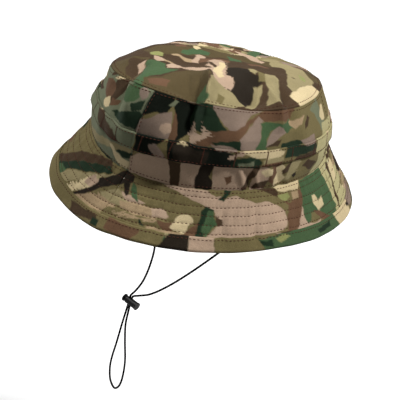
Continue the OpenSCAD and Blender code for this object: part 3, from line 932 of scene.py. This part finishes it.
def make_band():
    """Tape that stands a little proud of the wall, with rounded edges."""
    l0, l1, edge = 21.0, 36.0, 1.5
    back, face = BAND_T
    section = [(l1 - 0.1, edge)] + [(v, face) for v in np.linspace(l1, l0, 15)[1:-1]]
    section += [(l0 + 0.1, edge), (l0, back), (l1, back)]
    band = cloth_piece("foliage_band_tape", "wall", section, 0, 360, steps_for(360, 2.3), TAPE,
                       patches_for(BAND_PRINT, 71, 0, 360, 20, 37), 74, closed=True)
    declare("foliage_band")


def make_brim_inside():
    stiff = cloth_piece("brim_stiffener", "brim", slab_section(2.5, BRIM_W - 0.4, 6, -0.36, 0.36, 1),
                        0, 360, steps_for(360, 0.8), BUCKRAM, closed=True)
    declare("brim_interlining")
    under = cloth_piece("brim_under_cloth", "brim", slab_section(BRIM_W, 0.5, 1.2, -BRIM_T[0], -BRIM_T[1]),
                        0, 360, steps_for(360, 1.4), CLOTH,
                        patches_for([], 81, 0, 360, 0, 52), 84, closed=True)
    declare("brim_under")


def make_binding():
    """Tape folded round the brim edge: outer face, bend, lower face, then the inside of the fold."""
    s0, s1 = 40.6, BRIM_W + 0.3
    tin, tout = BIND_T
    outer = [(v, tout) for v in np.linspace(s0 + 0.3, s1 - 0.2, 12)]
    bend = [(s1 + 0.55, 1.35), (s1 + 0.9, 0.5), (s1 + 0.9, -0.5), (s1 + 0.55, -1.35)]
    lower = [(v, -tout) for v in np.linspace(s1 - 0.2, s0 + 0.3, 8)]
    inside = [(s0, -1.6), (s0, -tin), (s1, -tin), (s1, tin), (s0, tin), (s0, 1.6)]
    tape = cloth_piece("brim_binding_tape", "brim", outer + bend + lower + inside, 0, 360,
                       steps_for(360, 2.2), TAPE, patches_for(BINDING_PRINT, 91, 0, 360, 40, 53), 94,
                       closed=True)
    declare("brim_edge_binding")


def make_sweatband():
    band = cloth_piece("sweatband_tape", "wall", slab_section(32.0, 0.6, 2, -2.1, -0.75, 1),
                       0, 360, steps_for(360), LINING, closed=True)
    declare("sweatband")


make_panels()
make_top()
make_band()
make_brim_inside()
make_binding()
make_sweatband()

# ---------------------------------------------------------------- stitching


def stitch_shape():
    """Unit stitch: a plump thread that dives into the cloth at both ends."""
    rings = [(-0.5, 0.0, -0.6), (-0.36, 0.8, 0.1), (0.0, 1.0, 0.45), (0.36, 0.8, 0.1), (0.5, 0.0, -0.6)]
    verts, faces, sides = [], [], 5
    for x, size, lift in rings:
        count = 1 if size == 0 else sides
        for j in range(count):
            w = math.tau * j / sides
            verts.append((x, 0.5 * size * math.cos(w), lift + 0.5 * size * math.sin(w)))
    first = 1
    for j in range(sides):
        faces.append((0, first + (j + 1) % sides, first + j))
    for ring in range(2):
        b = 1 + ring * sides
        for j in range(sides):
            k = (j + 1) % sides
            faces.append((b + j, b + k, b + sides + k, b + sides + j))
    last, b = 1 + 3 * sides, 1 + 2 * sides
    for j in range(sides):
        faces.append((b + j, b + (j + 1) % sides, last))
    return np.array(verts), np.array([f if len(f) == 4 else (*f, -1) for f in faces])


UNIT_VERTS, UNIT_FACES = stitch_shape()


def stitches(name, rows, node=None, pitch=3.1, length=2.1, thick=0.62):
    """Runs of stitches: region, start and end as (angle, level), and height over the middle surface."""
    verts, faces, base = [], [], 0
    for region, start, end, t in rows:
        way = np.subtract(end, start)

        def at(share):
            return on_hat(region, start[0] + way[0] * share, start[1] + way[1] * share, t)

        run = np.linspace(0, 1, 400)
        line, _ = at(run)
        dist = np.concatenate([[0], np.cumsum(np.linalg.norm(np.diff(line, axis=0), axis=1))])
        count = max(1, int(dist[-1] / pitch))
        share = np.interp((np.arange(count) + 0.5) * dist[-1] / count, dist, run)
        p, n = at(share)
        q, _ = at(share + 0.002)
        d = (q - p) / np.maximum(np.linalg.norm(q - p, axis=1, keepdims=True), 1e-9)
        s = np.cross(n, d)
        u = UNIT_VERTS
        v = (p[:, None, :] + d[:, None, :] * (u[None, :, 0:1] * length)
             + s[:, None, :] * (u[None, :, 1:2] * thick) + n[:, None, :] * (u[None, :, 2:3] * thick * 0.7))
        verts.append(v.reshape(-1, 3))
        for i in range(count):
            for f in UNIT_FACES:
                faces.append([int(x) + base + i * len(u) for x in f if x >= 0])
        base += count * len(u)
    obj = mesh_object(name, np.concatenate(verts), faces, material=THREAD)
    if node:
        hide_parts(node)


TACKS = 24            # bar tacks round the band, and the stitches in each
TACK_STITCHES = 13
TACK_FIRST = 7.5      # degrees round from the front, at mid height of the band
TACK_MID, TACK_FOOT = 28, 22.4
SEAM_ROW = 2.4        # mm from a seam to the stitches beside it


def make_stitching():
    cloth, tape, brim = CLOTH_T, BAND_T[1], BRIM_T[1]
    stitches("brim_stitching", [("brim", (0, v), (360, v), brim) for v in BRIM_ROWS])
    stitches("binding_stitching", [("brim", (0, BIND_ROW), (360, BIND_ROW), BIND_T[1])])
    stitches("seam_stitching", [
        ("brim", (0, SEAM_ROW), (360, SEAM_ROW), brim),
        ("wall", (0, SEAM_ROW + 0.2), (360, SEAM_ROW + 0.2), cloth),
        ("wall", (0, TOP_Z - 2.2), (360, TOP_Z - 2.2), cloth),
        ("top", (0, 0.972), (360, 0.972), cloth)])
    stitches("panel_stitching", [("wall", (seam + 1.2, 67), (seam + 1.2, 2), cloth) for seam in PANEL_SEAMS])
    stitches("band_stitching", [("wall", (0, v), (360, v), tape) for v in (22.6, 34.4)])
    tacks = []
    for i in range(TACKS):
        w = TACK_FIRST + i * 360 / TACKS - TWIST * TACK_MID / TOP_Z
        for j in range(TACK_STITCHES):
            z = TACK_FOOT + j
            tacks.append(("wall", (w - 0.5, z), (w + 0.5, z + 0.2), tape))
    stitches("band_tacks_thread", tacks, "band_bar_tacks", pitch=9, length=1.5, thick=0.6)


make_stitching()

# ---------------------------------------------------------------- chin cord and its lock

CORD_D = 2.0
CORD_STEP = 1.6
SEWN_IN_Z = -4.5      # above this height the cord is sewn into its tab and can't be seen
LEFT_ROUTE = [
    (20, 81.6, 3), (20, 81.6, -8), (19, 79, -30), (17, 71, -62), (15, 62, -92),
    (13, 57.2, -123), (11.8, 58.8, -142), (11, 64, -161), (10.3, 71, -174.5),
    (10, 75.9, -181.4), (10, 76.5, -184.6), (10, 77.7, -191.2)]
LOOP_ROUTE = [
    (10, 77.7, -191.2), (10, 79.2, -199), (10, 82, -213), (10, 86.5, -238), (10, 90.6, -259),
    (10, 91, -271), (10, 88.5, -282), (10, 82.5, -287.5), (10, 77, -282), (10, 74, -270),
    (10, 73.4, -252), (10, 76.4, -231), (10, 78, -214), (10, 76.6, -200), (10, 75.5, -191.5)]
RIGHT_ROUTE = [
    (10, 75.5, -191.5), (10, 74.3, -184.9), (10, 72.8, -181.3), (10.3, 67.5, -178.4),
    (11, 54.7, -171.4), (12, 38, -157), (13.5, 16.8, -134.8), (15.3, -11, -102.5),
    (17, -38, -69), (18.5, -62, -41), (19.5, -75, -24), (20, -81.2, -11), (20, -81.6, -4),
    (20, -81.6, 3)]
FULL_ROUTE = LEFT_ROUTE + LOOP_ROUTE[1:] + RIGHT_ROUTE[1:]


def smooth_line(first, last, step):
    """The cord's middle line between two of its route points, as even short steps."""
    pts = [Vector(p) for p in FULL_ROUTE]
    legs = [(b - a).length for a, b in zip(pts, pts[1:])]
    ways = [(pts[i + 1] - pts[i - 1]) / (legs[i] + legs[i - 1]) for i in range(1, len(legs))]
    ways = [(pts[1] - pts[0]).normalized(), *ways, (pts[-1] - pts[-2]).normalized()]
    line = []
    for i in range(first, last):
        count = max(2, math.ceil(legs[i] / step))
        for k in range(count):
            u = k / count
            line.append((2 * u**3 - 3 * u**2 + 1) * pts[i] + (u**3 - 2 * u**2 + u) * legs[i] * ways[i]
                        + (3 * u**2 - 2 * u**3) * pts[i + 1] + (u**3 - u**2) * legs[i] * ways[i + 1])
    line.append(pts[last].copy())
    return line


def cord_piece(name, first, last):
    """One stretch of cord, with its middle line and length in metres."""
    line = [p for p in smooth_line(first, last, CORD_STEP) if p.z < SEWN_IN_Z]
    n, sides = len(line), 14
    verts, uvs, run = [], [], 0.0
    for i, p in enumerate(line):
        t = (line[min(i + 1, n - 1)] - line[max(i - 1, 0)]).normalized()
        e = t.cross(Vector((1, 0, 0))).normalized()
        f = t.cross(e)
        run += (p - line[i - 1]).length if i else 0
        for j in range(sides):
            w = math.tau * j / sides
            verts.append(p + CORD_D / 2 * (math.cos(w) * e + math.sin(w) * f))
            uvs.append((j / sides / MM, run))
    obj = mesh_object(name, np.array([tuple(v) for v in verts]), tube_faces(n, sides, False),
                      body="chin_cord", material=BRAID)
    add_uv_and_print(obj, np.array(uvs), None)
    return obj, [tuple(p * MM) for p in line], run * MM


def blend_cord(obj):
    """Frees a cord piece from its body."""
    if "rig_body" in obj:
        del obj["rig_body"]
    obj.parent = None
    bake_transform(obj)


def make_cord():
    nl = len(LEFT_ROUTE) - 1
    nm = nl + len(LOOP_ROUTE) - 1
    left = cord_piece("chin_cord_left_strand", 0, nl)
    loop = cord_piece("chin_cord_loop", nl, nm)
    right = cord_piece("chin_cord_right_strand", nm, len(FULL_ROUTE) - 1)
    blend_cord(left[0])
    blend_cord(right[0])
    blend_cord(loop[0])
    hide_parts("chin_cord")
    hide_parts("chin_cord")
    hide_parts("chin_cord")


TAB_X, TAB_Y, TAB_Z = 20.0, 81.6, -1.0    # middle of the left tab


def make_anchor(side, s, name):
    """Folded tab of tape, closed round the cord's end and sewn across. s is 1 left, -1 right."""
    half_w, half_t, half_h = 6.0, 1.8, 6.0
    rings, around = 9, 24
    outline = []
    for j in range(around):
        w = math.tau * j / around
        outline.append((half_w * math.copysign(abs(math.cos(w)) ** 0.35, math.cos(w)),
                        half_t * math.copysign(abs(math.sin(w)) ** 0.6, math.sin(w))))
    verts = []
    for i in range(rings):
        u = i / (rings - 1)
        z = TAB_Z - half_h + 2 * half_h * u
        # thin at both ends, and drawn in where it is sewn across
        slim = 1 - 0.5 * (abs(2 * u - 1) ** 6) - 0.22 * math.exp(-((u - 0.62) / 0.12) ** 2)
        for x, y in outline:
            verts.append((x * (1 - 0.06 * abs(2 * u - 1) ** 4), y * slim, z))
    turn = math.radians(-s * 10)
    c, d = math.cos(turn), math.sin(turn)
    placed = [(TAB_X + x * c - y * d, s * TAB_Y + x * d + y * c, z) for x, y, z in verts]
    obj = mesh_object("cord_tab_" + side, np.array(placed), tube_faces(rings, around, False), material=LINING)
    add_uv_and_print(obj, np.array([(v[0], v[2]) for v in verts]), None)
    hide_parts(name)


make_cord()
make_anchor("left", 1, "cord_anchor_left")
make_anchor("right", -1, "cord_anchor_right")

LOCK_LOOKS = {"cord_lock_barrel": PLASTIC, "cord_lock_button": PLASTIC, "cord_lock_spring": STEEL}
for node, material in LOCK_LOOKS.items():
    mesh = frame["nodes"][node].data
    mesh.materials.clear()
    mesh.materials.append(material)

# ---------------------------------------------------------------- stage and lights


FLOOR = (60.0, -0.42)         # half size and height in metres
GLOW = (0.05, 0.35, 0.2, 1.0)  # painted glow of the floor: from and to in metres behind the hat, then the glow at each


def make_stage():
    size, drop = FLOOR
    mesh = bpy.data.meshes.new("floor")
    corners = [(-size, -size, drop), (size, -size, drop), (size, size, drop), (-size, size, drop)]
    mesh.from_pydata(corners, [], [(0, 1, 2, 3)])
    floor = bpy.data.objects.new("floor", mesh)
    bpy.context.scene.collection.objects.link(floor)
    m = Nodes("floor_paper")
    # painted light: the paper glows brightly behind the hat on the far side and fades towards the camera's
    # side
    turned = m.add("ShaderNodeMapping", vector_type="POINT", Rotation=(0, 0, math.radians(180 - CAM_AZ)))
    m.link(m.place(), turned.inputs["Vector"])
    glow = m.add("ShaderNodeMapRange", interpolation_type="SMOOTHSTEP")
    for socket, value in zip(glow.inputs, (m.split(turned.outputs[0])[0], *GLOW)):
        m.fill(socket, value)
    m.use(Roughness=0.9, Base_Color=(0.27, 0.27, 0.27), Emission_Color=(1, 1, 1),
          Emission_Strength=glow.outputs[0])
    mesh.materials.append(m.mat)
    world = bpy.data.worlds.new("studio")
    bpy.context.scene.world = world
    world.use_nodes = True
    world.node_tree.nodes["Background"].inputs[0].default_value = (1, 1, 1, 1)
    world.node_tree.nodes["Background"].inputs[1].default_value = 0.15


def area_light(name, place, aim, size, power):
    data = bpy.data.lights.new(name, "AREA")
    data.shape = "DISK"
    data.size = size
    data.energy = power
    lamp = bpy.data.objects.new(name, data)
    lamp.location = place
    lamp.rotation_euler = (Vector(aim) - Vector(place)).to_track_quat("-Z", "Y").to_euler()
    bpy.context.scene.collection.objects.link(lamp)


make_stage()
bpy.context.scene.view_settings.view_transform = "Standard"
# the key light stands on the image's right, a weaker one on its left
area_light("key", (0.43, -1.02, 1.62), (0, 0, 0.02), 0.3, 48)
area_light("left", (-0.28, 1.08, 1.42), (0, 0, 0), 0.5, 33)

bpy.context.view_layer.update()
